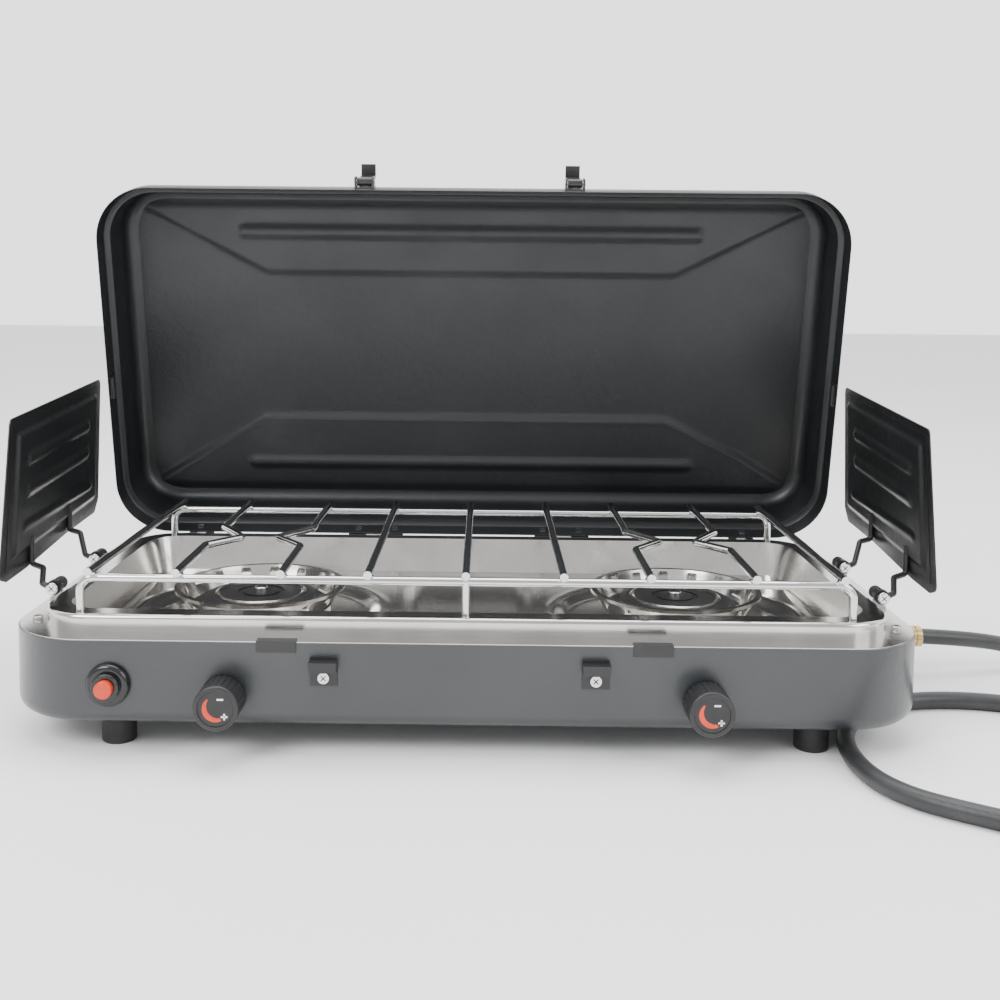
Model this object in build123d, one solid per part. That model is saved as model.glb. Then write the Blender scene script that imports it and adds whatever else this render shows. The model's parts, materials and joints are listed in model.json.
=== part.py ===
"""Two-burner camp stove with a hinged lid, folding wind shields, a lift-off grate and a gas hose.

Millimetres. While it is modelled, Y = 0 is the body's front face, +Y runs to the back and Z = 0 is the
table. Every piece is moved back by frame_y when it is written, so that the origin stands under the
middle of the stove's box. Everything is at rest: lid open, wind shields up, grate seated.
"""
import math
import os

from build123d import *

# body, tray and feet
body_w, body_d, body_r = 600.0, 290.0, 55.0
body_z0, body_z1 = 19.5, 73.6
sheet = 1.0
tray_sheet = 0.8
tray_inset = 1.0
flange_w = 17.0
ridge_w = 15.0
ridge_z = 85.6
basin_z = 56.4
basin_taper = 15.0
foot_x, foot_y, foot_r = 227.5, 27.5, 11.5
wall_screw_r = 1.5

# lid, modelled shut and then turned open about its hinge
lid_w, lid_front, lid_back = 622.0, -12.0, 291.5
lid_rim_z, lid_depth, lid_rim_h, lid_step = 80.0, 62.0, 18.0, 6.0
lid_r, lid_top_r = 45.0, 12.0
lid_open_deg = 78.0
hinge_y, hinge_z = 295.0, 76.0
hinge_pin_r, knuckle_r = 1.6, 3.4
hinges = [(-238.0, 22.0, (-241.0,)), (-84.0, 48.0, (-100.0, -68.0))]
hinges += [(80.0, 48.0, (64.0, 96.0)), (238.0, 22.0, (241.0,))]

# latches on the lid's front wall and the catches they hook under
latch_x = (-89.0, 83.0)
latch_pin_y, latch_pin_z, latch_pin_r = -17.5, 88.0, 1.5
lever_w, lever_t, lever_end_z = 12.0, 3.0, 53.0

# wind shields and their pivots on the tray's flange
shield_x, shield_t = 316.2, 1.0
pivot_x, pivot_z, pivot_r = 288.0, 87.5, 2.0
pivot_ys = (78.0, 166.0)
shield_wire_r = 2.1
shield_outline = [(266, 218), (76, 205), (53, 98), (64, 94), (98, 95.5), (180, 103.5), (246, 107), (256, 117)]
wire_feet = [(104.0, 97.5, 95.5, 89.5), (181.0, 106.0, 104.5, 90.5)]

# burners, gas train and controls
burner_x, burner_y = 151.5, 120.0
bowl_rim_z, bowl_r, bowl_floor_z = 81.0, 61.0, 61.0
electrode_dx, electrode_r = 48.0, 3.0
knob_x, knob_z, knob_r = 152.5, 39.3, 14.3
knob_front, knob_back = -24.0, -3.0
stem_r = 3.5
igniter_x, igniter_z = -225.5, 46.0
button_r, button_front = 5.75, -13.0
inlet_y, inlet_z, inlet_end = 175.0, 31.0, 315.0

# grate
wire_r = 2.75
rail_x, rail_front_y, rail_back_y, rail_z = 252.5, 28.0, 262.5, 107.5
rod_z = rail_z + 2 * wire_r - 0.2
rod_y0, rod_y1 = 20.0, 270.0
leg_gap = 0.2
straight_xs = (-245.0, -63.5, 0.0, 63.5, 245.0)
outer_xs, inner_xs = (-188.0, 188.0), (-120.0, 120.0)
zig_depth, zig_y = 21.0, (102.0, 130.0, 165.0)

# gas hose
hose_r = 6.0
ferrule_r, ferrule_end = 8.0, 352.0

open_rise = math.radians(lid_open_deg)
# the open lid reaches furthest back at the round edge of its top, beside the hinges
lid_far_y = hinge_y + (lid_rim_z + lid_depth - lid_top_r - hinge_z) * math.sin(open_rise)
lid_far_y += (lid_back - lid_step - lid_top_r - hinge_y) * math.cos(open_rise) + lid_top_r
frame_y = (knob_front + lid_far_y) / 2


def save(name, *solids):
    """Write one node: its solids, moved into the part's own frame."""
    moved = [Pos(0, -frame_y, 0) * s for s in solids]
    export_step(moved[0] if len(moved) == 1 else Compound(children=moved), f"parts/{name}.step")


def plate(w, d, r, x, y, z0, z1, taper=0):
    """A slab with rounded corners: w along X and d along Y, centred on x, y, from z0 to z1."""
    face = Pos(x, y, z0) * RectangleRounded(w, d, r)
    return extrude(face, amount=z1 - z0, taper=taper)


def block(x0, x1, y0, y1, z0, z1):
    return Pos((x0 + x1) / 2, (y0 + y1) / 2, (z0 + z1) / 2) * Box(x1 - x0, y1 - y0, z1 - z0)


def rod(start, end, r):
    """A round bar from one point to another."""
    a, b = Vector(*start), Vector(*end)
    return extrude(Plane(origin=a, z_dir=b - a) * Circle(r), amount=(b - a).length)


def bent(points, r, bend):
    """A round bar along straight runs joined by arcs. bend is one radius, or one for each corner."""
    path = FilletPolyline(*points, radius=bend)
    return sweep(Plane(origin=path @ 0, z_dir=path % 0) * Circle(r), path=path)


def turned(x, y, z, outline):
    """A solid of revolution about the vertical through x, y; outline is (radius, height) pairs."""
    face = make_face(Plane.XZ * Polyline(*outline, close=True))
    return Pos(x, y, z) * revolve(face, axis=Axis.Z)


def along_y(x, z, y0, y1, r):
    return rod((x, y0, z), (x, y1, z), r)


def opened(solid):
    """Turn a piece of the shut lid to where it stands open."""
    return solid.rotate(Axis((0, hinge_y, hinge_z), (1, 0, 0)), -lid_open_deg)


def mirrored(solid):
    return mirror(solid, about=Plane.YZ)


def make_body():
    mid = body_d / 2
    outer = plate(body_w, body_d, body_r, 0, mid, body_z0, body_z1)
    outer = fillet(outer.edges().group_by(Axis.Z)[0], 9)
    inner = plate(body_w - 2 * sheet, body_d - 2 * sheet, body_r - sheet, 0, mid, body_z0 + sheet, body_z1)
    inner = fillet(inner.edges().group_by(Axis.Z)[0], 8)
    shell = outer - inner
    for x in (-knob_x, knob_x):
        shell -= along_y(x, knob_z, -1, 3, stem_r + 2)
    shell -= along_y(igniter_x, igniter_z, -1, 3, 8)
    shell -= rod((body_w / 2 - 3, inlet_y, inlet_z), (body_w / 2 + 1, inlet_y, inlet_z), 7)
    feet, screws = [], []
    for x in (-foot_x, foot_x):
        for y in (foot_y, body_d - foot_y):
            shell -= rod((x, y, body_z0 - 1), (x, y, body_z0 + 3), 2.0)
            foot = turned(x, y, 0, [(0, 0), (foot_r - 1.2, 0), (foot_r - 0.4, 0.8), (foot_r, body_z0), (0, body_z0)])
            feet.append(foot - rod((x, y, 4), (x, y, body_z0), 2.0))
            shank = rod((x, y, 4), (x, y, body_z0 + sheet), 2.0)
            screws.append(shank + rod((x, y, body_z0 + sheet), (x, y, body_z0 + sheet + 2), 3.8))
    for x in range(-200, 201, 40):
        shell -= block(x - 12, x + 12, 196, 200, body_z0 - 1, body_z0 + 2)
    save("body_shell", shell)
    save("feet", *feet)
    return screws


def make_tray():
    mid, top = body_d / 2, body_z1 + tray_sheet
    w, d, r = body_w - 2 * tray_inset, body_d - 2 * tray_inset, body_r - tray_inset
    ridge = plate(w - 2 * flange_w, d - 2 * flange_w, r - flange_w, 0, mid, top, ridge_z)
    ridge = fillet(ridge.edges().group_by(Axis.Z)[-1], 3)
    edge = 2 * (flange_w + ridge_w)
    fall = ridge_z - basin_z + tray_sheet
    # the basin's walls lean in towards its floor, so it is drawn downwards from the ridge
    down = Plane((0, mid, ridge_z), z_dir=(0, 0, -1))
    wall = RectangleRounded(w - edge + 2 * tray_sheet, d - edge + 2 * tray_sheet, 24 + tray_sheet)
    basin = extrude(down * wall, amount=fall, taper=basin_taper)
    cavity = extrude(down * RectangleRounded(w - edge, d - edge, 24), amount=ridge_z - basin_z, taper=basin_taper)
    under = plate(w - 2 * flange_w - 2 * tray_sheet, d - 2 * flange_w - 2 * tray_sheet, r - flange_w - tray_sheet,
                  0, mid, body_z1, ridge_z - tray_sheet)
    under = fillet(under.edges().group_by(Axis.Z)[-1], 2.2) - basin
    tray = plate(w, d, r, 0, mid, body_z1, top) + ridge - under + basin - cavity
    for x in (-burner_x, burner_x):
        tray -= rod((x, burner_y, basin_z - 3), (x, burner_y, basin_z + 3), 12.2)
        tray -= rod((x + electrode_dx, burner_y, basin_z - 3), (x + electrode_dx, burner_y, basin_z + 3), 3.2)
    screws, spots = [], [(sx * 287.5, y) for sx in (-1, 1) for y in (46.0, 244.0)]
    for x, y in spots:
        tray -= rod((x, y, body_z1 - 1), (x, y, top + 1), wall_screw_r)
        head = fillet(rod((x, y, top), (x, y, top + 2.2), 3.5).edges().group_by(Axis.Z)[-1], 1)
        screws.append(head + rod((x, y, top - 9), (x, y, top), wall_screw_r))
    save("tray", tray)
    tabs = []
    for x0 in (-131.8, 106.6):
        tab = block(x0, x0 + 25.2, -0.9, 0, 68, top + 0.9) + block(x0, x0 + 25.2, 0, 6, top, top + 0.9)
        tabs.append(tab)
    save("tray_clips", *tabs)
    return screws


def make_grate():
    foot = ridge_z + leg_gap
    rails = []
    for y in (rail_front_y, rail_back_y):
        ends = [(-rail_x, y, foot), (-rail_x, y, rail_z), (rail_x, y, rail_z), (rail_x, y, foot)]
        rails.append(bent(ends, wire_r, 9))
    rails[0] += rod((0, rail_front_y, foot), (0, rail_front_y, rail_z), wire_r)
    save("grate_rails", *rails)
    straight = [rod((x, rod_y0, rod_z), (x, rod_y1, rod_z), wire_r) for x in straight_xs]
    save("grate_straight_rods", *straight)
    rods = []
    for xs, toward in ((outer_xs, -1), (inner_xs, 1)):
        for x in xs:
            tip = x + toward * math.copysign(zig_depth, x)
            spots = [(x, rod_y0), (x, zig_y[0]), (tip, zig_y[1]), (x, zig_y[2]), (x, rod_y1)]
            rods.append(bent([(px, py, rod_z) for px, py in spots], wire_r, 4))
    save("grate_zigzag_rods", *rods)


def make_burner(side, sx):
    x, y = sx * burner_x, burner_y
    t = 0.8
    outer = [(34, bowl_floor_z - t), (43, bowl_floor_z - t), (52, 66.5), (58.6, 78.5), (bowl_r + t, 78.8)]
    inner = [(bowl_r + t, bowl_rim_z), (57.9, bowl_rim_z), (51.4, 67.2), (42.7, bowl_floor_z), (34, bowl_floor_z)]
    bowl = turned(x, y, 0, outer + inner)
    for k in range(16):
        slot = Pos(55.5, 0, 0) * SlotOverall(8, 3.2, rotation=90)
        cut = extrude(Plane.XY.offset(60) * Rot(0, 0, 22.5 * k) * slot, amount=30)
        bowl -= Pos(x, y, 0) * cut
    bowl -= rod((x + electrode_dx, y, basin_z), (x + electrode_dx, y, ridge_z), electrode_r + 0.4)
    legs = [block(-46, 46, -5, 5, basin_z, bowl_floor_z - t), block(-5, 5, -46, 46, basin_z, bowl_floor_z - t)]
    bracket = Pos(x, y, 0) * (legs[0] + legs[1]) - rod((x, y, basin_z), (x, y, bowl_floor_z), 12.5)
    bracket -= rod((x + electrode_dx, y, basin_z - 1), (x + electrode_dx, y, bowl_floor_z), 4)
    head = turned(x, y, 0, [(9, 50), (12, 50), (12, 61.5), (33, 63), (36, 66), (36, 72), (33.5, 72), (33.5, 67),
                            (31, 65.2), (9, 65.2)])
    for k in range(24):
        head -= Pos(x, y, 0) * (Rot(0, 0, 15 * k) * rod((30, 0, 69.5), (40, 0, 69.5), 1.1))
    cap = turned(x, y, 0, [(3.1, 69.2), (16, 69.2), (30, 72), (40, 72), (40, 73.6), (36, 74.6), (33.2, 74.6),
                           (33.2, 74), (29.2, 74), (29.2, 74.6), (17, 75.4), (17, 74.6), (13, 74.6), (13, 75.6),
                           (3.1, 76.4)])
    ring = turned(x, y, 0, [(29.4, 74), (33, 74), (33, 75.2), (31.2, 76), (29.4, 75.2)])
    screw = rod((x, y, 52), (x, y, 76.4), 3.0)
    screw += fillet(rod((x, y, 76.4), (x, y, 79), 4.6).edges().group_by(Axis.Z)[-1], 1)
    spider = block(-12, 12, -2, 2, 50, 52) + rod((0, 0, 50), (0, 0, 52), 5)
    base = [(x, 52, knob_z), (x, y, knob_z), (x, y, 50)]
    tube = bent(base, 9, 9.6) - bent(base, 8, 9.6)
    save(f"burner_bowl_{side}", bowl)
    save(f"burner_cap_{side}", cap)
    head += (Pos(x, y, 0) * spider) - rod((x, y, 49), (x, y, 53), 2.9)
    return {"burner_brackets": bracket, "burner_heads": head, "flame_rings": ring, "mixer_tubes": tube,
            "cap_screws": screw}


def make_gas_train():
    valves, jets, nuts = [], [], []
    for x in (-knob_x, knob_x):
        body = block(x - 9, x + 9, 12, 36, knob_z - 9, knob_z + 9) + along_y(x, knob_z, 3, 12, 8)
        body += along_y(x, knob_z, 36, 40, 7)
        body -= along_y(x, knob_z, 2, 14, stem_r + 0.05)
        valves.append(body)
        jets.append(along_y(x, knob_z, 40, 50, 3.2) - along_y(x, knob_z, 44, 51, 0.5))
        nuts.append(along_y(x, knob_z, 1, 3, 11) - along_y(x, knob_z, 0, 4, stem_r + 2))
    save("valves", *valves)
    save("jets", *jets)
    save("valve_plates", *nuts)
    cross = rod((-knob_x + 9, 24, knob_z), (knob_x - 9, 24, knob_z), 4)
    feed = [(knob_x + 9, 24, knob_z), (272, 24, knob_z), (272, inlet_y, inlet_z), (294, inlet_y, inlet_z)]
    save("gas_pipes", cross, bent(feed, 4, 10))
    inlet = rod((294, inlet_y, inlet_z), (inlet_end, inlet_y, inlet_z), 6.9)
    collar = Plane(origin=(300, inlet_y, inlet_z), x_dir=(0, 1, 0), z_dir=(1, 0, 0))
    inlet += extrude(collar * RegularPolygon(9.5, 6), amount=8)
    save("gas_inlet", inlet)


def make_igniter():
    x, z = igniter_x, igniter_z
    collar = along_y(x, z, -5, 0, 14)
    collar = fillet(collar.edges().group_by(Axis.Y)[0], 3.4)
    nose = fillet(along_y(x, z, -9, -4, 9).edges().group_by(Axis.Y)[0], 1.2)
    bezel = collar + nose + along_y(x, z, 0, 12, 7.8) - along_y(x, z, -10, 13, button_r + 0.25)
    button = along_y(x, z, button_front, 16, button_r)
    button = fillet(button.edges().group_by(Axis.Y)[0], 1)
    nut = along_y(x, z, 2, 5, 12) - along_y(x, z, 1, 6, 7.8)
    body = along_y(x, z, 12, 58, 8.5) - along_y(x, z, 11, 24, button_r + 0.25)
    save("igniter_bezel", bezel)
    save("igniter_button", button)
    save("igniter_nut", nut)
    save("piezo_unit", body)
    sparks, tips = [], []
    for bx in (-burner_x, burner_x):
        cx = bx + electrode_dx
        stick = rod((cx, burner_y, 46), (cx, burner_y, 68), electrode_r)
        sparks.append(stick)
        tips.append(bent([(cx, burner_y, 68), (cx, burner_y, 74), (cx - 6, burner_y, 77)], 0.8, 2))
    save("electrodes", *sparks)
    save("electrode_tips", *tips)
    # the leads drop to the floor of the body and run under the burners' tubes
    low = body_z0 + 6
    near_x, far_x = electrode_dx - burner_x, electrode_dx + burner_x
    left = [(x, 58, z), (x, 70, z), (x, 84, low), (near_x, 84, low), (near_x, burner_y, low), (near_x, burner_y, 46)]
    right = [(x, 58, z + 4), (x, 72, z + 4), (-170, 205, low), (120, 205, low), (far_x, 150, low),
             (far_x, burner_y, low), (far_x, burner_y, 46)]
    save("igniter_leads", bent(left, 1.3, 5), bent(right, 1.3, 5))


def make_controls():
    for side, sx in (("left", -1), ("right", 1)):
        x = sx * knob_x
        cap = along_y(x, knob_z, knob_front, knob_back, knob_r)
        cap = fillet(cap.edges().group_by(Axis.Y)[0], 1.6)
        for k in range(24):
            rib = Rot(0, 15 * k, 0) * along_y(knob_r + 0.55, 0, knob_front + 3, knob_back + 1, 1.0)
            cap -= Pos(x, 0, knob_z) * rib
        cap -= along_y(x, knob_z, knob_front - 1, knob_front + 1.0, 11.2)
        cap -= along_y(x, knob_z, knob_front + 6, knob_back + 1, stem_r + 0.02)
        dial = along_y(x, knob_z, knob_front + 0.4, knob_front + 1.0, 11.0)
        stem = along_y(x, knob_z, knob_front + 6, 13.5, stem_r)
        save(f"knob_{side}", cap)
        save(f"dial_{side}", dial)
        save(f"valve_stem_{side}", stem)


def make_lid():
    mid, length = (lid_front + lid_back) / 2, lid_back - lid_front
    top = lid_rim_z + lid_depth
    step_z = lid_rim_z + lid_rim_h

    def pan(shrink, z_low, z_step, z_top, round_top):
        low = plate(lid_w - 2 * shrink, length - 2 * shrink, lid_r - shrink, 0, mid, z_low, z_step)
        inset = shrink + lid_step
        high = plate(lid_w - 2 * inset, length - 2 * inset, lid_r - inset, 0, mid, z_step, z_top)
        high = fillet(high.edges().group_by(Axis.Z)[-1], round_top)
        return low + high

    shell = pan(0, lid_rim_z, step_z, top, lid_top_r)
    shell -= pan(sheet, lid_rim_z - 1, step_z - sheet, top - sheet, lid_top_r - sheet)
    # reliefs in the side rims, where the raised wind shields' wires stand when the lid is shut on them
    for (y, _, relief_z, _), deep in zip(wire_feet, (3.5, 4.0)):
        shell -= block(-lid_w, lid_w, y - 7.5, y + 3.5, lid_rim_z - 1, relief_z + deep)
    rivets = []
    for _, _, xs in hinges:
        for x in xs:
            shell -= along_y(x, lid_rim_z + 9, lid_back - 3, lid_back + 1, 1.6)
            shank = along_y(x, lid_rim_z + 9, lid_back - sheet - 1, lid_back + 2, 1.6)
            rivets.append(shank + along_y(x, lid_rim_z + 9, lid_back - sheet - 1.2, lid_back - sheet, 2.8))
    for x in latch_x:
        for dx in (-3.6, 3.6):
            shell -= along_y(x + dx, lid_rim_z + 14.5, lid_front - 1, lid_front + 3, 1.2)
    save("lid_shell", opened(shell))
    clips = []
    for sx in (-1, 1):
        inside = sx * (lid_w / 2 - sheet)
        clip = block(*sorted((inside, inside - sx * 1.2)), 150, 168, lid_rim_z - 2.2, lid_rim_z + 14)
        clip += rod((inside - sx * 3, 150, lid_rim_z), (inside - sx * 3, 168, lid_rim_z), 2.2)
        clip += rod((inside - sx * 1.2, 159, lid_rim_z + 9), (inside - sx * 2.4, 159, lid_rim_z + 9), 2.6)
        clips.append(opened(clip))
    save("lid_clips", *clips)
    return [opened(r) for r in rivets]


def make_hinges():
    body_leaves, lid_leaves, pins, screws = [], [], [], []
    for x, w, xs in hinges:
        third = w / 3
        leaf = block(x - w / 2, x + w / 2, body_d, body_d + 1.2, 52, 73)
        leaf += block(x - third / 2, x + third / 2, body_d, hinge_y, 71, 73)
        leaf += rod((x - third / 2, hinge_y, hinge_z), (x + third / 2, hinge_y, hinge_z), knuckle_r)
        leaf -= rod((x - w, hinge_y, hinge_z), (x + w, hinge_y, hinge_z), hinge_pin_r + 0.05)
        body_leaves.append(leaf)
        upper = block(x - w / 2, x + w / 2, lid_back, lid_back + 1.2, lid_rim_z + 1, lid_rim_z + 17)
        for sx in (-1, 1):
            a, b = sorted((x + sx * (third / 2 + 0.3), x + sx * w / 2))
            upper += rod((a, hinge_y, hinge_z), (b, hinge_y, hinge_z), knuckle_r)
            upper += block(a, b, lid_back, hinge_y, hinge_z + 2, lid_rim_z + 2)
        upper -= rod((x - w, hinge_y, hinge_z), (x + w, hinge_y, hinge_z), hinge_pin_r)
        for rx in xs:
            upper -= along_y(rx, lid_rim_z + 9, lid_back - 1, lid_back + 2, 1.6)
        lid_leaves.append(opened(upper))
        pins.append(rod((x - w / 2, hinge_y, hinge_z), (x + w / 2, hinge_y, hinge_z), hinge_pin_r))
        for rx in xs:
            screws.append(along_y(rx, 60, body_d + 1.2, body_d + 2.4, 2.8))
    save("hinge_body_leaves", *body_leaves)
    save("hinge_lid_leaves", *lid_leaves)
    save("hinge_pins", *pins)
    save("hinge_body_rivets", *screws)


def make_latches():
    bases, pins, rivets, catches, catch_rivets = [], [], [], [], []
    y, z = latch_pin_y, latch_pin_z
    for side, x in zip(("left", "right"), latch_x):
        base = block(x - 8, x + 8, lid_front - 1.2, lid_front, z - 6, z + 9.5)
        for sx in (-1, 1):
            a, b = sorted((x + sx * 6.6, x + sx * 8))
            base += block(a, b, y - 4, lid_front, z - 5.5, z + 4)
        base -= rod((x - 9, y, z), (x + 9, y, z), latch_pin_r)
        for dx in (-3.6, 3.6):
            base -= along_y(x + dx, z + 6.5, lid_front - 2, lid_front + 1, 1.2)
        bases.append(opened(base))
        pins.append(opened(rod((x - 8.6, y, z), (x + 8.6, y, z), latch_pin_r)))
        for dx in (-3.6, 3.6):
            head = along_y(x + dx, z + 6.5, lid_front - 2.0, lid_front - 1.2, 2.0)
            rivets.append(opened(head + along_y(x + dx, z + 6.5, lid_front - 1.2, lid_front + sheet, 1.2)))
        lever = block(x - lever_w / 2, x + lever_w / 2, y - lever_t / 2, y + lever_t / 2, lever_end_z, z)
        lever += rod((x - lever_w / 2, y, z), (x + lever_w / 2, y, z), 3.4)
        lever += block(x - lever_w / 2, x + lever_w / 2, y, -7, lever_end_z, lever_end_z + 3)
        lever -= rod((x - 9, y, z), (x + 9, y, z), latch_pin_r + 0.06)
        # at rest the lever lies folded back over the lid's wall
        lever = lever.rotate(Axis((0, y, z), (1, 0, 0)), 180)
        save(f"latch_lever_{side}", opened(lever))
        catch = block(x - 8.75, x + 8.75, -1.2, 0, 47, 65) + block(x - 8.75, x + 8.75, -9, -1.2, 57.5, 64)
        catches.append(catch - along_y(x, 52.2, -2, 1, 1.6))
        catch_rivets.append(along_y(x, 52.2, -1.2, 0, 1.6) + along_y(x, 52.2, -2.6, -1.2, 3.6))
    save("latch_bases", *bases)
    save("latch_pins", *pins)
    save("front_catches", *catches)
    save("catch_rivets", *catch_rivets)
    return rivets


def make_shields():
    flat = make_face(Plane.YZ * Polyline(*shield_outline, close=True))
    panel = Pos(shield_x - shield_t / 2, 0, 0) * extrude(flat, amount=shield_t)
    panel = fillet(panel.edges().filter_by(Axis.X), 5)
    wires = []
    inner_x = shield_x - shield_t / 2 - shield_wire_r
    for (y, low_z, out_z, in_z), eye_y in zip(wire_feet, pivot_ys):
        beside, eye_edge = (pivot_x + 9, eye_y + 1.5, pivot_z + 2), (pivot_x + 4, eye_y, pivot_z + 0.5)
        points = [(inner_x, y, low_z + 20), (inner_x, y, low_z), (304, y - 3.5, out_z), beside, eye_edge]
        eye = along_y(pivot_x, pivot_z, eye_y - 2.1, eye_y + 2.1, pivot_r + 3.2)
        wire = bent(points, shield_wire_r, 3) + eye
        wires.append(wire - along_y(pivot_x, pivot_z, eye_y - 5, eye_y + 5, pivot_r + 0.06))
    for side, place in (("left", mirrored), ("right", lambda s: s)):
        save(f"wind_shield_{side}", place(panel))
        save(f"shield_wires_{side}", *[place(w) for w in wires])
    brackets, screws, bushes = [], [], []
    top = body_z1 + tray_sheet
    for eye_y in pivot_ys:
        tab = block(pivot_x - 4.5, pivot_x + 4.5, eye_y + 3.6, eye_y + 5.2, top, pivot_z)
        tab += along_y(pivot_x, pivot_z, eye_y + 3.6, eye_y + 5.2, 4.5)
        tab += block(pivot_x - 4.5, pivot_x + 4.5, eye_y + 5.2, eye_y + 14, top, top + 1.4)
        tab -= along_y(pivot_x, pivot_z, eye_y + 3, eye_y + 6, pivot_r)
        pin = along_y(pivot_x, pivot_z, eye_y - 3, eye_y + 15, pivot_r)
        head = along_y(pivot_x, pivot_z, eye_y - 6, eye_y - 3, 4.2)
        pin += fillet(head.edges().group_by(Axis.Y)[0], 1.1)
        bush = along_y(pivot_x, pivot_z, eye_y + 5.2, eye_y + 15, 4.6)
        bush = fillet(bush.edges().group_by(Axis.Y)[-1], 1.5) - along_y(pivot_x, pivot_z, eye_y, eye_y + 16, pivot_r)
        for place in (mirrored, lambda s: s):
            brackets.append(place(tab))
            screws.append(place(pin))
            bushes.append(place(bush))
    save("pivot_brackets", *brackets)
    save("pivot_screws", *screws)
    save("pivot_bushes", *bushes)


# the hose's route: it sags to the table, turns back under the body, rounds the front foot and leaves again
hose_route = [
    (351, 175, 31), (398, 180, 28), (447, 199, 14), (502, 193, 7), (538, 152, 6), (536, 98, 6), (496, 64, 6),
    (441, 67, 6), (389, 98, 6), (335, 105, 6), (285, 88, 6), (253, 44, 6), (243, -8, 6), (254, -56, 6),
    (297, -88, 6), (345, -112, 6), (393, -122, 6), (444, -121, 6), (492, -101, 6), (526, -62, 6), (541, -14, 6),
]


def corner_radii(points):
    """Each corner's arc: 0.45 of its shorter run over the tangent of half the turn."""
    radii = []
    for a, b, c in zip(points, points[1:], points[2:]):
        before, after = Vector(*b) - Vector(*a), Vector(*c) - Vector(*b)
        half = math.radians(before.get_angle(after) / 2)
        radii.append(0.45 * min(before.length, after.length) / math.tan(half))
    return radii


def make_hose():
    radii = corner_radii(hose_route)
    path = FilletPolyline(*hose_route, radius=radii)
    tube = sweep(Plane(origin=path @ 0, z_dir=path % 0) * Circle(hose_r), path=path)
    save("hose_tube", tube)
    print("hose radii", [round(r) for r in radii])
    print("hose length", round(path.length), "volume ratio", tube.volume / (math.pi * hose_r**2 * path.length))

    ferrule = rod((inlet_end, inlet_y, inlet_z), (ferrule_end, inlet_y, inlet_z), ferrule_r)
    for x in (338, 342, 346):
        ring = rod((x, inlet_y, inlet_z), (x + 2, inlet_y, inlet_z), ferrule_r + 1)
        ferrule -= ring - rod((x, inlet_y, inlet_z), (x + 2, inlet_y, inlet_z), ferrule_r - 0.8)
    across = Plane(origin=(inlet_end, inlet_y, inlet_z), x_dir=(0, 1, 0), z_dir=(1, 0, 0))
    save("hose_ferrule", ferrule + extrude(across * RegularPolygon(9.5, 6), amount=12) - tube)

    # the far end's crimped ferrule and its cylinder nut lie on the table, in line with the last of the hose
    end, ahead = Vector(*hose_route[-1]), Vector(*hose_route[-1]) - Vector(*hose_route[-2])
    start = Plane(origin=end + Vector(0, 0, ferrule_r - hose_r), z_dir=ahead)
    save("hose_end_ferrule", extrude(start * Circle(ferrule_r), amount=24))
    nut = extrude(start.offset(24) * Circle(ferrule_r), amount=22)
    save("hose_connector", nut + extrude(start.offset(46) * Circle(4.5), amount=6))


os.makedirs("parts", exist_ok=True)
save("body_screws", *make_body(), *make_tray())
make_grate()
left_pieces, right_pieces = make_burner("left", -1), make_burner("right", 1)
for name in left_pieces:
    save(name, left_pieces[name], right_pieces[name])
make_gas_train()
make_igniter()
make_controls()
save("lid_rivets", *make_lid(), *make_latches())
make_hinges()
make_shields()
make_hose()
print("frame_y", frame_y, "lid_far_y", lid_far_y, "files", len(os.listdir("parts")))
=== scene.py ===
"""Looks of a two-burner camp stove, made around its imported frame.

Places are metres in the frame's axes. The outlines and depths of the pressings are millimetres.
"""

import json
import math

import bpy
from bpy.props import FloatProperty, FloatVectorProperty, IntProperty, PointerProperty
from mathutils import Matrix, Vector


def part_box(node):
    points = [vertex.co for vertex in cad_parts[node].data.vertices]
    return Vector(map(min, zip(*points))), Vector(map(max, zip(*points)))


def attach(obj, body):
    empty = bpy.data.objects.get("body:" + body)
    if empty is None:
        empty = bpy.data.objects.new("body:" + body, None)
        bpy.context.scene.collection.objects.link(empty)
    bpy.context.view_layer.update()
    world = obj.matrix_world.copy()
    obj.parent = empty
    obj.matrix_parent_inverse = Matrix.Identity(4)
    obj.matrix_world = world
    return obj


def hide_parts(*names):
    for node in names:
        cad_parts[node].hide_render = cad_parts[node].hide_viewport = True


bl_info = {
    "name": "Camp stove",
    "version": (1, 0, 0),
    "blender": (4, 5, 0),
    "location": "View3D > Sidebar > Camp stove",
    "description": "Presses, prints and paints a two-burner camp stove around its frame",
    "category": "Add Mesh",
}

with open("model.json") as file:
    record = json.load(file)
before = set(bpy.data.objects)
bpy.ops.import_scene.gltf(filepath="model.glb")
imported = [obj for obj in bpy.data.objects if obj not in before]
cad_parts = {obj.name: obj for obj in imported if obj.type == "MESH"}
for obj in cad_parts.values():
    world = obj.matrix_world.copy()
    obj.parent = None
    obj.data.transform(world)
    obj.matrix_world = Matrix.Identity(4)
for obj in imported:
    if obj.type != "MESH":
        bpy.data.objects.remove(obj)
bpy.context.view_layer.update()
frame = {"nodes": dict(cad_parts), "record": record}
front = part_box("body_shell")[0][1]
mm = 0.001
hinge = (Vector(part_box("hinge_pins")[0]) + Vector(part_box("hinge_pins")[1])) / 2
lid_open_deg = 78
lid_turn = Matrix.Rotation(-math.radians(lid_open_deg), 3, "X")

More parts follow.
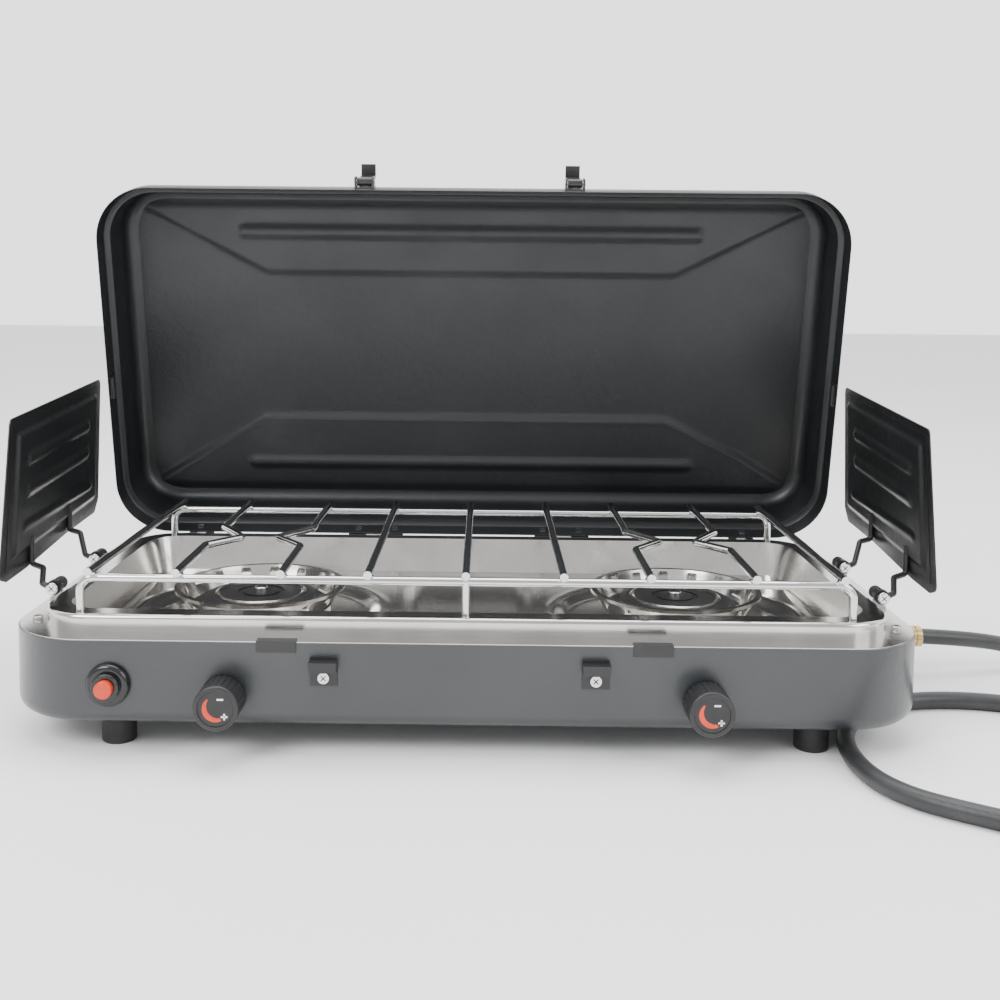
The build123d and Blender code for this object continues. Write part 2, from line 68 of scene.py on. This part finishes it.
# the hose's route from its ferrule, measured from the middle of the body's front face
HOSE_ROUTE = [
    (0.351, 0.175, 0.031), (0.398, 0.180, 0.028), (0.447, 0.199, 0.014), (0.502, 0.193, 0.007),
    (0.538, 0.152, 0.006), (0.536, 0.098, 0.006), (0.496, 0.064, 0.006), (0.441, 0.067, 0.006),
    (0.389, 0.098, 0.006), (0.335, 0.105, 0.006), (0.285, 0.088, 0.006), (0.253, 0.044, 0.006),
    (0.243, -0.008, 0.006), (0.254, -0.056, 0.006), (0.297, -0.087, 0.006), (0.345, -0.112, 0.006),
    (0.393, -0.122, 0.006), (0.444, -0.121, 0.006), (0.492, -0.101, 0.006), (0.526, -0.062, 0.006),
    (0.541, -0.014, 0.006),
]


class StoveView(bpy.types.PropertyGroup):
    place: FloatVectorProperty(name="Camera place", description="From the middle of the body's front face",
                               default=(0.0111, -0.7258, 0.3007), subtype="TRANSLATION", unit="LENGTH")
    tilt: FloatProperty(name="Tilt", description="Downward tilt of the camera", default=0.071,
                        subtype="ANGLE")
    turn: FloatProperty(name="Turn", description="Turn of the camera about the upright", default=0.007,
                        subtype="ANGLE")
    roll: FloatProperty(name="Roll", description="Roll of the camera about its own line", default=0.010,
                        subtype="ANGLE")
    lens: FloatProperty(name="Lens", description="Focal length in millimetres on a 36 mm sensor",
                        default=42.24)
    shift: FloatVectorProperty(name="Shift", description="Lens shift", size=2, default=(0.023, -0.1316))


class StovePaint(bpy.types.PropertyGroup):
    body: FloatVectorProperty(name="Body", description="Powder coat of the body", subtype="COLOR",
                              default=(0.019, 0.0215, 0.0235))
    lid: FloatVectorProperty(name="Lid", description="Satin enamel of the lid", subtype="COLOR",
                             default=(0.0070, 0.0085, 0.0100))
    shield: FloatVectorProperty(name="Wind shields", description="Textured paint of the wind shields",
                                subtype="COLOR", default=(0.007, 0.0075, 0.008))
    button: FloatVectorProperty(name="Igniter button", description="Orange-red plastic", subtype="COLOR",
                                default=(0.60, 0.040, 0.008))


class StovePressings(bpy.types.PropertyGroup):
    bead: FloatProperty(name="Bead height", description="How far the lid's long beads stand up",
                        default=2.6 * mm, unit="LENGTH")
    crease: FloatProperty(name="Crease step", description="Step in the lid's field at its creases",
                          default=2.2 * mm, unit="LENGTH")
    shield_step: FloatProperty(name="Shield step", description="How far a wind shield's field is pressed in",
                               default=2.4 * mm, unit="LENGTH")
    basin_step: FloatProperty(name="Basin step", description="Height of the tray's floor round the burners",
                              default=5.0 * mm, unit="LENGTH")
    sheet: FloatProperty(name="Sheet", description="Thickness of a pressed lining", default=0.5 * mm,
                         unit="LENGTH")
    fineness: IntProperty(name="Fineness", description="Cells along a pressing's longer side", default=220)


# ---- modelling helpers ----

def deselect():
    bpy.ops.object.select_all(action="DESELECT")


def finish_piece(piece, body, material, smooth_deg=40):
    """Give a piece its body and its material, with its place kept in its mesh."""
    deselect()
    piece.select_set(True)
    bpy.context.view_layer.objects.active = piece
    bpy.ops.object.transform_apply(location=True, rotation=True, scale=True)
    bpy.ops.object.shade_smooth_by_angle(angle=math.radians(smooth_deg))
    piece.data.materials.clear()
    piece.data.materials.append(material)
    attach(piece, body)


def add_thickness(piece, thickness, offset=-1):
    solid = piece.modifiers.new("thickness", "SOLIDIFY")
    solid.thickness, solid.offset = thickness, offset
    bpy.context.view_layer.objects.active = piece
    bpy.ops.object.modifier_apply(modifier=solid.name)


def formed_grid(name, cells_u, cells_v, place):
    """A grid laid out by place(u, v), with u and v from 0 to 1."""
    deselect()
    bpy.ops.mesh.primitive_grid_add(x_subdivisions=cells_u, y_subdivisions=cells_v, size=1)
    sheet = bpy.context.object
    sheet.name = name
    for vertex in sheet.data.vertices:
        vertex.co = place(vertex.co.x + 0.5, vertex.co.y + 0.5)
    return sheet


def face_towards(piece, way):
    """Turn a sheet's faces so that most of them look towards way."""
    if sum(f.normal.dot(way) * f.area for f in piece.data.polygons) < 0:
        bpy.context.view_layer.objects.active = piece
        bpy.ops.object.mode_set(mode="EDIT")
        bpy.ops.mesh.select_all(action="SELECT")
        bpy.ops.mesh.flip_normals()
        bpy.ops.object.mode_set(mode="OBJECT")


def merge(name, pieces):
    """Join pieces into one object."""
    deselect()
    for piece in pieces:
        piece.select_set(True)
    bpy.context.view_layer.objects.active = pieces[0]
    bpy.ops.object.join()
    pieces[0].name = name
    return pieces[0]


def smooth_step(value, low, high):
    t = min(max((value - low) / (high - low), 0.0), 1.0)
    return t * t * (3 - 2 * t)


def to_segment(p, a, b):
    """Distance from p to the segment a-b, in the plane."""
    ab = (b[0] - a[0], b[1] - a[1])
    ap = (p[0] - a[0], p[1] - a[1])
    t = (ap[0] * ab[0] + ap[1] * ab[1]) / (ab[0] ** 2 + ab[1] ** 2)
    t = min(max(t, 0.0), 1.0)
    return math.hypot(ap[0] - t * ab[0], ap[1] - t * ab[1])


def between(a, b, t):
    """The point of the plane at t, from 0 to 1, on the way from a to b."""
    return (a[0] + (b[0] - a[0]) * t, a[1] + (b[1] - a[1]) * t)


def bead(p, a, b, half_width):
    """Height, from 0 to 1, of a round bead pressed along the segment a-b, with a soft foot."""
    away = to_segment(p, a, b) / half_width
    foot = 0.8
    if away < foot:
        return math.sqrt(max(1 - away * away, 0.0))
    return 0.6 * (1 - smooth_step(away, foot, 1.3))


def line_at(x, points):
    """Height of a polyline, with rising x, over x."""
    for (x0, y0), (x1, y1) in zip(points, points[1:]):
        if x <= x1:
            return y0 + (y1 - y0) * (x - x0) / (x1 - x0)
    return points[-1][1]


# ---- materials ----

def shader(name, colour, roughness, metallic=0.0):
    material = bpy.data.materials.new(name)
    material.use_nodes = True
    surface = material.node_tree.nodes["Principled BSDF"]
    surface.inputs["Base Color"].default_value = (*colour, 1)
    surface.inputs["Roughness"].default_value = roughness
    surface.inputs["Metallic"].default_value = metallic
    return material


def grain(material, scale, stretch=(1, 1, 1), detail=4.0, centre=(0, 0, 0)):
    """A noise pattern fixed to the piece; scale is cells per metre."""
    nodes, links = material.node_tree.nodes, material.node_tree.links
    where = nodes.new("ShaderNodeTexCoord")
    mapping = nodes.new("ShaderNodeMapping")
    mapping.inputs["Scale"].default_value = stretch
    mapping.inputs["Location"].default_value = centre
    pattern = nodes.new("ShaderNodeTexNoise")
    pattern.inputs["Scale"].default_value = scale
    pattern.inputs["Detail"].default_value = detail
    links.new(where.outputs["Object"], mapping.inputs["Vector"])
    links.new(mapping.outputs["Vector"], pattern.inputs["Vector"])
    return pattern.outputs["Fac"]


def ramp(material, source, low, high, low_at=0.35, high_at=0.65):
    """Turn a pattern into a run between two colours or two grey values."""
    nodes, links = material.node_tree.nodes, material.node_tree.links
    run = nodes.new("ShaderNodeValToRGB")
    ends = [(low, low_at), (high, high_at)]
    for stop, (value, at) in zip(run.color_ramp.elements, ends):
        stop.position = at
        stop.color = (*value, 1) if hasattr(value, "__len__") else (value, value, value, 1)
    links.new(source, run.inputs["Fac"])
    return run.outputs["Color"]


def feed(material, socket, source):
    surface = material.node_tree.nodes["Principled BSDF"]
    material.node_tree.links.new(source, surface.inputs[socket])


def bumps(material, source, distance, strength=1.0, under=None):
    nodes, links = material.node_tree.nodes, material.node_tree.links
    bump = nodes.new("ShaderNodeBump")
    bump.inputs["Distance"].default_value = distance
    bump.inputs["Strength"].default_value = strength
    links.new(source, bump.inputs["Height"])
    if under:
        links.new(under, bump.inputs["Normal"])
    return bump.outputs["Normal"]


def shade(colour, factor):
    return tuple(channel * factor for channel in colour)


def painted(name, colour, roughness, pebble, depth, coat=0.0):
    """Powder coat or enamel: pebbled, with faint rubbed patches."""
    material = shader(name, colour, roughness)
    patches = grain(material, 9, detail=5)
    feed(material, "Base Color", ramp(material, patches, shade(colour, 0.86), shade(colour, 1.18)))
    rubbed = grain(material, 14, centre=(3, 1, 0))
    feed(material, "Roughness", ramp(material, rubbed, roughness - 0.05, roughness + 0.07))
    fine = bumps(material, grain(material, pebble, detail=2), depth)
    waves = grain(material, pebble / 6, detail=1)
    feed(material, "Normal", bumps(material, waves, depth * 2.5, 0.5, fine))
    surface = material.node_tree.nodes["Principled BSDF"]
    surface.inputs["Coat Weight"].default_value = coat
    surface.inputs["Coat Roughness"].default_value = 0.22
    return material


def brushed(name, colour, roughness, along=(0.03, 1, 1), depth=0.00004):
    """Rolled or brushed metal: fine lines along one direction, and faint stains."""
    material = shader(name, colour, roughness, 1.0)
    lines = grain(material, 2400, stretch=along, detail=2)
    stains = grain(material, 22, detail=6)
    feed(material, "Base Color", ramp(material, stains, shade(colour, 0.88), colour, 0.3, 0.6))
    feed(material, "Roughness", ramp(material, lines, roughness - 0.03, roughness + 0.05))
    feed(material, "Normal", bumps(material, lines, depth, 0.3))
    return material


def plated(name, colour, roughness):
    """Chrome plate: bright, with slight waves in the wire under it."""
    material = shader(name, colour, roughness, 1.0)
    haze = grain(material, 120, detail=5)
    feed(material, "Roughness", ramp(material, haze, roughness, roughness + 0.12, 0.45, 0.75))
    feed(material, "Normal", bumps(material, grain(material, 260), 0.00005, 0.5))
    return material


def moulded(name, colour, roughness, pebble=1600, depth=0.00004):
    """Plastic, rubber or glazed ceramic from a mould."""
    material = shader(name, colour, roughness)
    patches = grain(material, 90)
    feed(material, "Base Color", ramp(material, patches, shade(colour, 0.85), shade(colour, 1.15)))
    feed(material, "Roughness", ramp(material, grain(material, 240), roughness - 0.04, roughness + 0.06))
    feed(material, "Normal", bumps(material, grain(material, pebble, detail=2), depth))
    return material


def hose_skin():
    """Rubber hose with a woven cover: two fine patterns of lines that cross at right angles."""
    material = shader("hose_rubber", (0.022, 0.023, 0.025), 0.42)
    nodes, links = material.node_tree.nodes, material.node_tree.links
    heights = []
    where = nodes.new("ShaderNodeTexCoord")
    for lean in (-1, 1):
        mapping = nodes.new("ShaderNodeMapping")
        mapping.inputs["Rotation"].default_value = (0, 0, lean * math.radians(45))
        wave = nodes.new("ShaderNodeTexWave")
        wave.inputs["Scale"].default_value = 260
        links.new(where.outputs["Object"], mapping.inputs["Vector"])
        links.new(mapping.outputs["Vector"], wave.inputs["Vector"])
        heights.append(wave.outputs["Fac"])
    first = bumps(material, heights[0], 0.00006, 0.5)
    feed(material, "Normal", bumps(material, heights[1], 0.00006, 0.5, first))
    dark, light = (0.018, 0.019, 0.020), (0.030, 0.031, 0.033)
    feed(material, "Base Color", ramp(material, grain(material, 40), dark, light))
    return material


def make_materials(paint):
    steel = (0.62, 0.605, 0.58)
    return {
        "body_paint": painted("body_paint", paint.body, 0.33, 900, 0.00016, 0.5),
        "lid_enamel": painted("lid_enamel", paint.lid, 0.42, 900, 0.00018, 0.12),
        "shield_paint": painted("shield_paint", paint.shield, 0.34, 900, 0.00016, 0.2),
        "black_steel": painted("black_steel", (0.014, 0.014, 0.015), 0.36, 1500, 0.00006),
        "burner_black": painted("burner_black", (0.010, 0.010, 0.011), 0.45, 1200, 0.00008),
        "stainless": brushed("stainless", steel, 0.17, (0.02, 1, 1), 0.00002),
        "burner_ring": brushed("burner_ring", (0.66, 0.63, 0.58), 0.20, (1, 1, 1)),
        "zinc": brushed("zinc", (0.55, 0.55, 0.54), 0.35, (1, 1, 1)),
        "chrome": plated("chrome", (0.66, 0.66, 0.66), 0.05),
        "brass": brushed("brass", (0.70, 0.50, 0.22), 0.28, (1, 0.2, 0.2)),
        "rubber": moulded("rubber", (0.014, 0.014, 0.014), 0.62),
        "knob_black": moulded("knob_black", (0.014, 0.014, 0.015), 0.42),
        "dial_print": moulded("dial_print", (0.016, 0.016, 0.017), 0.50, 2600),
        "button_orange": moulded("button_orange", paint.button, 0.26),
        "bezel_black": moulded("bezel_black", (0.010, 0.010, 0.011), 0.16, 900, 0.00001),
        "ceramic": moulded("ceramic", (0.82, 0.80, 0.74), 0.25),
        "lead_wire": moulded("lead_wire", (0.5, 0.04, 0.02), 0.4),
        "hose_rubber": hose_skin(),
        "mark_white": moulded("mark_white", (0.85, 0.85, 0.84), 0.45),
        "mark_orange": moulded("mark_orange", (0.62, 0.050, 0.010), 0.42),
        # near-black painted shade for the screw crosses, standing in for the shade inside the screws' cross
        # recesses
        "painted_recess_shade": moulded("painted_recess_shade", (0.02, 0.02, 0.02), 0.6),
    }


materials = {}


# ---- operators ----

class STOVE_OT_camera(bpy.types.Operator):
    """Set the camera"""
    bl_idname = "stove.camera"
    bl_label = "Camera"

    def execute(self, context):
        view = context.scene.stove_view
        data = bpy.data.cameras.new("camera")
        camera = bpy.data.objects.new("camera", data)
        context.scene.collection.objects.link(camera)
        turn = Matrix.Rotation(view.turn, 4, "Z") @ Matrix.Rotation(math.pi / 2 - view.tilt, 4, "X")
        turn = turn @ Matrix.Rotation(view.roll, 4, "Z")
        camera.matrix_world = Matrix.Translation(Vector(view.place) + Vector((0, front, 0))) @ turn
        data.lens, data.sensor_width = view.lens, 36.0
        data.shift_x, data.shift_y = view.shift
        data.clip_start = 0.02
        context.scene.camera = camera
        return {"FINISHED"}


class STOVE_OT_hose(bpy.types.Operator):
    """Lay the gas hose along its route"""
    bl_idname = "stove.hose"
    bl_label = "Gas hose"

    def execute(self, context):
        curve = bpy.data.curves.new("gas_hose", "CURVE")
        curve.dimensions = "3D"
        line = curve.splines.new("NURBS")
        line.points.add(len(HOSE_ROUTE) - 1)
        for point, (x, y, z) in zip(line.points, HOSE_ROUTE):
            point.co = (x, y + front, z, 1)
        line.order_u = 3
        line.use_endpoint_u = True
        line.resolution_u = 14
        curve.bevel_depth, curve.bevel_resolution = 6 * mm, 6
        curve.use_fill_caps = True
        hose = bpy.data.objects.new("gas_hose", curve)
        context.scene.collection.objects.link(hose)
        curve.materials.append(materials["hose_rubber"])
        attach(hose, "stove_body")
        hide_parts("hose_tube")
        return {"FINISHED"}


class STOVE_OT_finishes(bpy.types.Operator):
    """Paint, plate and brush the frame's own pieces"""
    bl_idname = "stove.finishes"
    bl_label = "Finishes"

    def execute(self, context):
        for part in frame["record"]["subparts"]:
            node = frame["nodes"][part["node"]]
            node.data.materials.clear()
            node.data.materials.append(materials[part["material_slot"]])
        return {"FINISHED"}


def lid_spot(x, s, height):
    """A place on the open lid, from millimetres across, up from the hinge line and in from the rim."""
    return hinge + lid_turn @ (Vector((x, -s, height + 4)) * mm)


class STOVE_OT_lid(bpy.types.Operator):
    """Form the lid's rim, its joggled wall and its round shoulder"""
    bl_idname = "stove.lid"
    bl_label = "Lid"

    def execute(self, context):
        # the lid's outline: half its width, its lower and upper edges, and its corners' radius
        half, low_s, high_s, corner = 311.0, 3.5, 307.0, 45.0
        around, shoulder = 14, 8
        # the shoulder's centre, in from the outline and up from the rim, and its two radii
        bend_in, bend_up, outer_r, inner_r = 18, 50, 12, 11
        # the wall's section: distance in from the lid's outline, and height from the rim
        section = [(0.5, 0), (0.0, 0.6), (0.0, 16.6), (0.8, 17.8), (5.2, 18.6), (6.0, 20.0)]
        turns = [math.radians(90 * k / shoulder) for k in range(shoulder + 1)]
        for r, order in ((outer_r, turns), (inner_r, turns[::-1])):
            section += [(bend_in - r * math.cos(turn), bend_up + r * math.sin(turn)) for turn in order]
        section += [(7.0, 19.4), (6.2, 17.8), (1.8, 17.0), (1.0, 15.6), (1.0, 0.6), (0.5, 0)]
        centres = [(half - corner, high_s - corner), (corner - half, high_s - corner),
                   (corner - half, low_s + corner), (half - corner, low_s + corner)]
        steps = 4 * (around + 1)

        def place(u, v):
            step, spot = round(u * steps) % steps, section[round(v * (len(section) - 1))]
            quarter, part = divmod(step, around + 1)
            turn = math.radians(90 * (quarter + part / around))
            reach = corner - spot[0]
            x, s = centres[quarter]
            return lid_spot(x + reach * math.cos(turn), s + reach * math.sin(turn), spot[1])

        pan = formed_grid("lid_pan", steps, len(section) - 1, place)
        bpy.ops.object.mode_set(mode="EDIT")
        bpy.ops.mesh.select_all(action="SELECT")
        bpy.ops.mesh.remove_doubles(threshold=0.02 * mm)
        bpy.ops.mesh.normals_make_consistent(inside=False)
        bpy.ops.object.mode_set(mode="OBJECT")
        finish_piece(pan, "lid", materials["lid_enamel"], 50)
        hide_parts("lid_shell")
        return {"FINISHED"}


class STOVE_OT_lid_pressings(bpy.types.Operator):
    """Press the beads and creases into the lid's field, inside and outside"""
    bl_idname = "stove.lid_pressings"
    bl_label = "Lid pressings"

    def execute(self, context):
        press = context.scene.stove_pressings
        # the field's outline, as the lid's, and its height from the rim's plane
        half, low_s, high_s, corner, field_up = 294.3, 20.2, 290.3, 28.2, 61
        # each long bead's two ends and half its width
        beads = (((-199, 262), (194, 262), 5.5), ((-200, 49), (197, 49), 4.5))
        crease_top = [(-300, 291), (-274, 277), (-181, 227), (176, 227), (273, 277), (300, 291)]
        crease_low = [(-300, 22), (-248, 55), (-190, 92), (176, 92), (248, 55), (300, 22)]

        def height(x, s):
            h = 0.0
            for start, end, half_width in beads:
                h += press.bead / mm * bead((x, s), start, end, half_width)
            for line, way in ((crease_top, 1), (crease_low, -1)):
                past = (s - line_at(x, line)) * way
                h += press.crease / mm * smooth_step(past, -2.5, 2.5)
                h += 0.9 * math.exp(-(past / 3.0) ** 2)
            edge = min(half - abs(x), s - low_s, high_s - s)
            return h * smooth_step(edge, 0.0, 9.0)

        def place(u, v):
            s = low_s + v * (high_s - low_s)
            past = max(low_s + corner - s, s - high_s + corner, 0)
            x = (u * 2 - 1) * (half - corner + math.sqrt(max(corner * corner - past * past, 0)))
            return lid_spot(x, s, field_up - height(x, s))

        field = formed_grid("lid_field", press.fineness, press.fineness // 2, place)
        face_towards(field, lid_spot(0, 0, 0) - lid_spot(0, 0, 1))
        add_thickness(field, 1.0 * mm)
        finish_piece(field, "lid", materials["lid_enamel"], 60)
        return {"FINISHED"}


class STOVE_OT_shield_pressings(bpy.types.Operator):
    """Press the stepped field and the ribs into both wind shields"""
    bl_idname = "stove.shield_pressings"
    bl_label = "Wind shield pressings"

    def execute(self, context):
        press = context.scene.stove_pressings
        # a lining's four corners, and its rough length and height
        low_front, high_front, high_rear, low_rear = (62, 101), (80, 200), (259, 212.5), (249, 114)
        long, tall = 185, 105
        # the gap between a lining and its panel, and how much of the pressing shows outside
        gap, outside_share = 0.5, 0.6

        def at(u, v):
            return between(between(low_front, low_rear, u), between(high_front, high_rear, u), v)

        def height(u, v):
            spot = (u * long, v * tall)
            edge = min(u * long, (1 - u) * long, v * tall, (1 - v) * tall)
            h = press.shield_step / mm * smooth_step(edge, 6, 10)
            for level in (0.50, 0.72):
                h += 2.0 * bead(spot, (28, level * tall), (150, level * tall), 4.5)
            h += 1.4 * bead(spot, (24, 26), (160, 22), 3.0)
            return h * smooth_step(edge, 0.0, 2.0)

        for side, sx in (("left", -1), ("right", 1)):
            low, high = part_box("wind_shield_" + side)
            inner = min(abs(low[0]), abs(high[0]))
            outer = max(abs(low[0]), abs(high[0]))

            def inside(u, v):
                y, z = at(u, v)
                x = inner - (gap + height(u, v)) * mm
                return Vector((sx * x, y * mm + front, z * mm))

            def outside(u, v):
                y, z = at(u, v)
                x = outer + (gap + height(u, v) * outside_share) * mm
                return Vector((sx * x, y * mm + front, z * mm))

            for name, place, look in (("field_inside", inside, -sx), ("field_outside", outside, sx)):
                sheet = formed_grid(f"wind_shield_{side}_{name}", 110, 70, place)
                face_towards(sheet, Vector((look, 0, 0)))
                add_thickness(sheet, press.sheet)
                finish_piece(sheet, "wind_shield_" + side, materials["shield_paint"], 60)
        return {"FINISHED"}


class STOVE_OT_tray_pressings(bpy.types.Operator):
    """Press the round wells and the saddle into the tray's floor"""
    bl_idname = "stove.tray_pressings"
    bl_label = "Tray pressings"

    def execute(self, context):
        press = context.scene.stove_pressings
        low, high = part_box("burner_bowl_right")
        burner = ((low[0] + high[0]) / 2 / mm, ((low[1] + high[1]) / 2 - front) / mm)
        # half the floor's width, its front and rear edges, its height, and the lining's lift over it
        half, y0, y1, floor_z, lift = 256.5, 43.0, 247.0, 56.4, 0.55

        def height(x, y):
            away = math.hypot(abs(x) - burner[0], y - burner[1])
            h = press.basin_step / mm * smooth_step(away, 78, 88)
            h += 1.2 * math.exp(-((away - 90) / 3.5) ** 2)
            h += 3.5 * smooth_step(52 - abs(x), 0, 18) * smooth_step(min(y - y0, y1 - y), 10, 40)
            edge = min(half - abs(x), y - y0, y1 - y)
            return h * smooth_step(edge, 0.0, 9.0)

        def place(u, v):
            x, y = (u * 2 - 1) * half, y0 + v * (y1 - y0)
            return Vector((x * mm, y * mm + front, (floor_z + lift + height(x, y)) * mm))

        floor = formed_grid("tray_floor", press.fineness, press.fineness // 2, place)
        face_towards(floor, Vector((0, 0, 1)))
        add_thickness(floor, press.sheet)
        finish_piece(floor, "stove_body", materials["stainless"], 60)
        return {"FINISHED"}


class STOVE_OT_dial_marks(bpy.types.Operator):
    """Print the minus, the plus and the crescent on each dial"""
    bl_idname = "stove.dial_marks"
    bl_label = "Dial marks"

    def execute(self, context):
        for side in ("left", "right"):
            low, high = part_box("dial_" + side)
            cx, cz, face_y = (low[0] + high[0]) / 2, (low[2] + high[2]) / 2, low[1] - 0.15 * mm

            def bar(name, x, z, w, h):
                def place(u, v):
                    return Vector((cx + (x + (u - 0.5) * w) * mm, face_y, cz + (z + (v - 0.5) * h) * mm))
                return formed_grid(name, 3, 3, place)

            def crescent(u, v):
                angle = math.radians(128 + u * 170)
                width = 3.4 * math.sin(math.pi * (0.06 + 0.80 * u)) ** 0.7
                r = 8.2 - (1 - v) * width
                return Vector((cx + r * math.cos(angle) * mm, face_y, cz + r * math.sin(angle) * mm))

            signs = [bar("minus", 3.0, 6.0, 4.0, 1.1), bar("plus_flat", 5.6, -4.8, 4.0, 1.1),
                     bar("plus_up", 5.6, -4.8, 1.1, 4.0)]
            swoosh = formed_grid("crescent", 40, 4, crescent)
            for piece in signs + [swoosh]:
                face_towards(piece, Vector((0, -1, 0)))
                add_thickness(piece, 0.12 * mm)
            white = merge(f"dial_signs_{side}", signs)
            finish_piece(white, "knob_" + side, materials["mark_white"])
            swoosh.name = f"dial_crescent_{side}"
            finish_piece(swoosh, "knob_" + side, materials["mark_orange"])
        return {"FINISHED"}


class STOVE_OT_welds(bpy.types.Operator):
    """Melt a small weld where each rod of the grate crosses a rail"""
    bl_idname = "stove.welds"
    bl_label = "Grate welds"

    def execute(self, context):
        low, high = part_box("grate_rails")
        rod_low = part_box("grate_straight_rods")[0]
        rail_r = 2.75 * mm
        rods = (-245, -188, -120, -63.5, 0, 63.5, 120, 188, 245)
        beads = []
        for y in (low[1] + rail_r, high[1] - rail_r):
            for x in rods:
                deselect()
                bpy.ops.mesh.primitive_uv_sphere_add(segments=14, ring_count=8, radius=3.4 * mm,
                                                     location=(x * mm, y, rod_low[2] + 0.1 * mm))
                bpy.ops.object.mode_set(mode="EDIT")
                bpy.ops.mesh.select_all(action="SELECT")
                bpy.ops.transform.resize(value=(1.0, 1.15, 0.55))
                bpy.ops.object.mode_set(mode="OBJECT")
                beads.append(context.object)
        finish_piece(merge("grate_welds", beads), "grate", materials["chrome"])
        return {"FINISHED"}


class STOVE_OT_screw_slots(bpy.types.Operator):
    """Lay a thin near-black cross on each screw head that shows: painted shade standing in for the shade
    inside its cross recess
    """
    bl_idname = "stove.screw_slots"
    bl_label = "Screw crosses"

    def execute(self, context):
        tray_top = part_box("body_screws")[1][2]
        catch_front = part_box("catch_rivets")[0][1]
        sides = (-1, 1)
        # each head's middle, the axis that it faces along, and half the length of its cross
        spots = [((sx * 287.5 * mm, y * mm + front, tray_top), "Z", 2.0) for sx in sides for y in (46, 244)]
        spots += [((x * mm, catch_front, 52.2 * mm), "Y", 2.2) for x in (-89, 83)]
        spots += [((sx * 288 * mm, y * mm + front, 87.5 * mm), "Y", 2.4) for sx in sides for y in (72, 160)]
        bars = []
        for spot, axis, reach in spots:
            for turn in (45, 135):
                deselect()
                bpy.ops.mesh.primitive_cube_add(size=1, location=spot)
                bar = context.object
                bar.scale = (2 * reach * mm, 0.7 * mm, 0.24 * mm)
                flat = Matrix.Rotation(math.pi / 2, 4, "X") if axis == "Y" else Matrix.Identity(4)
                bar.rotation_euler = (flat @ Matrix.Rotation(math.radians(turn), 4, "Z")).to_euler()
                bpy.ops.object.transform_apply(location=True, rotation=True, scale=True)
                edge = bar.modifiers.new("edge", "BEVEL")
                edge.width, edge.segments = 0.08 * mm, 1
                bpy.ops.object.modifier_apply(modifier=edge.name)
                bars.append(bar)
        # the crosses' near-black colour is painted shade, standing in for the shade in the recesses, not a
        # dark finish of the screws
        finish_piece(merge("screw_cross_shade", bars), "stove_body", materials["painted_recess_shade"])
        return {"FINISHED"}


class STOVE_OT_stage(bpy.types.Operator):
    """Lay the floor and set the lights"""
    bl_idname = "stove.stage"
    bl_label = "Floor and lights"

    def execute(self, context):
        deselect()
        bpy.ops.mesh.primitive_plane_add(size=14, location=(0, 0, 0))
        floor = context.object
        floor.name = "floor"
        paper = shader("paper", (0.93, 0.93, 0.93), 0.75)
        feed(paper, "Base Color", ramp(paper, grain(paper, 3), 0.92, 0.94))
        floor.data.materials.append(paper)
        world = context.scene.world or bpy.data.worlds.new("studio")
        context.scene.world = world
        world.use_nodes = True
        nodes, links = world.node_tree.nodes, world.node_tree.links
        where, split = nodes.new("ShaderNodeTexCoord"), nodes.new("ShaderNodeSeparateXYZ")
        room = nodes.new("ShaderNodeValToRGB")
        links.new(where.outputs["Generated"], split.inputs["Vector"])
        links.new(split.outputs["Y"], room.inputs["Fac"])
        # the far half of the room is white, the near half a darker grey
        lit, dim = room.color_ramp.elements[1], room.color_ramp.elements[0]
        dim.position, dim.color = 0.0, (0.42, 0.42, 0.43, 1)
        lit.position, lit.color = 0.12, (1, 1, 1, 1)
        links.new(room.outputs["Color"], nodes["Background"].inputs["Color"])
        nodes["Background"].inputs["Strength"].default_value = 2.3
        for name, place, aim, size, power in (
                ("key", (-1.1, -1.3, 1.5), (0, 0, 0.1), 1.0, 34),
                ("fill", (1.5, -1.0, 1.1), (0, 0, 0.1), 1.0, 18),
                ("top", (0.0, 0.1, 1.9), (0, 0, 0.1), 1.4, 30)):
            data = bpy.data.lights.new(name, "AREA")
            data.size, data.energy = size, power
            lamp = bpy.data.objects.new(name, data)
            context.scene.collection.objects.link(lamp)
            lamp.location = place
            lamp.rotation_euler = (Vector(aim) - Vector(place)).to_track_quat("-Z", "Y").to_euler()
        return {"FINISHED"}


STEPS = (STOVE_OT_camera, STOVE_OT_hose, STOVE_OT_finishes, STOVE_OT_lid, STOVE_OT_lid_pressings,
         STOVE_OT_shield_pressings, STOVE_OT_tray_pressings, STOVE_OT_dial_marks, STOVE_OT_welds,
         STOVE_OT_screw_slots, STOVE_OT_stage)


class STOVE_PT_panel(bpy.types.Panel):
    bl_label = "Camp stove"
    bl_idname = "STOVE_PT_panel"
    bl_space_type = "VIEW_3D"
    bl_region_type = "UI"
    bl_category = "Camp stove"

    def draw(self, context):
        for step in STEPS:
            self.layout.operator(step.bl_idname)
        for group in (context.scene.stove_view, context.scene.stove_paint, context.scene.stove_pressings):
            for name in group.bl_rna.properties.keys():
                if name not in ("rna_type", "name"):
                    self.layout.prop(group, name)


GROUPS = {"stove_view": StoveView, "stove_paint": StovePaint, "stove_pressings": StovePressings}


def register():
    for name, group in GROUPS.items():
        bpy.utils.register_class(group)
        setattr(bpy.types.Scene, name, PointerProperty(type=group))
    for each in (*STEPS, STOVE_PT_panel):
        bpy.utils.register_class(each)


def unregister():
    for each in (STOVE_PT_panel, *reversed(STEPS)):
        bpy.utils.unregister_class(each)
    for name, group in GROUPS.items():
        delattr(bpy.types.Scene, name)
        bpy.utils.unregister_class(group)


def main():
    register()
    materials.update(make_materials(bpy.context.scene.stove_paint))
    for step in STEPS:
        area, name = step.bl_idname.split(".")
        getattr(getattr(bpy.ops, area), name)()


if __name__ == "__main__":
    main()
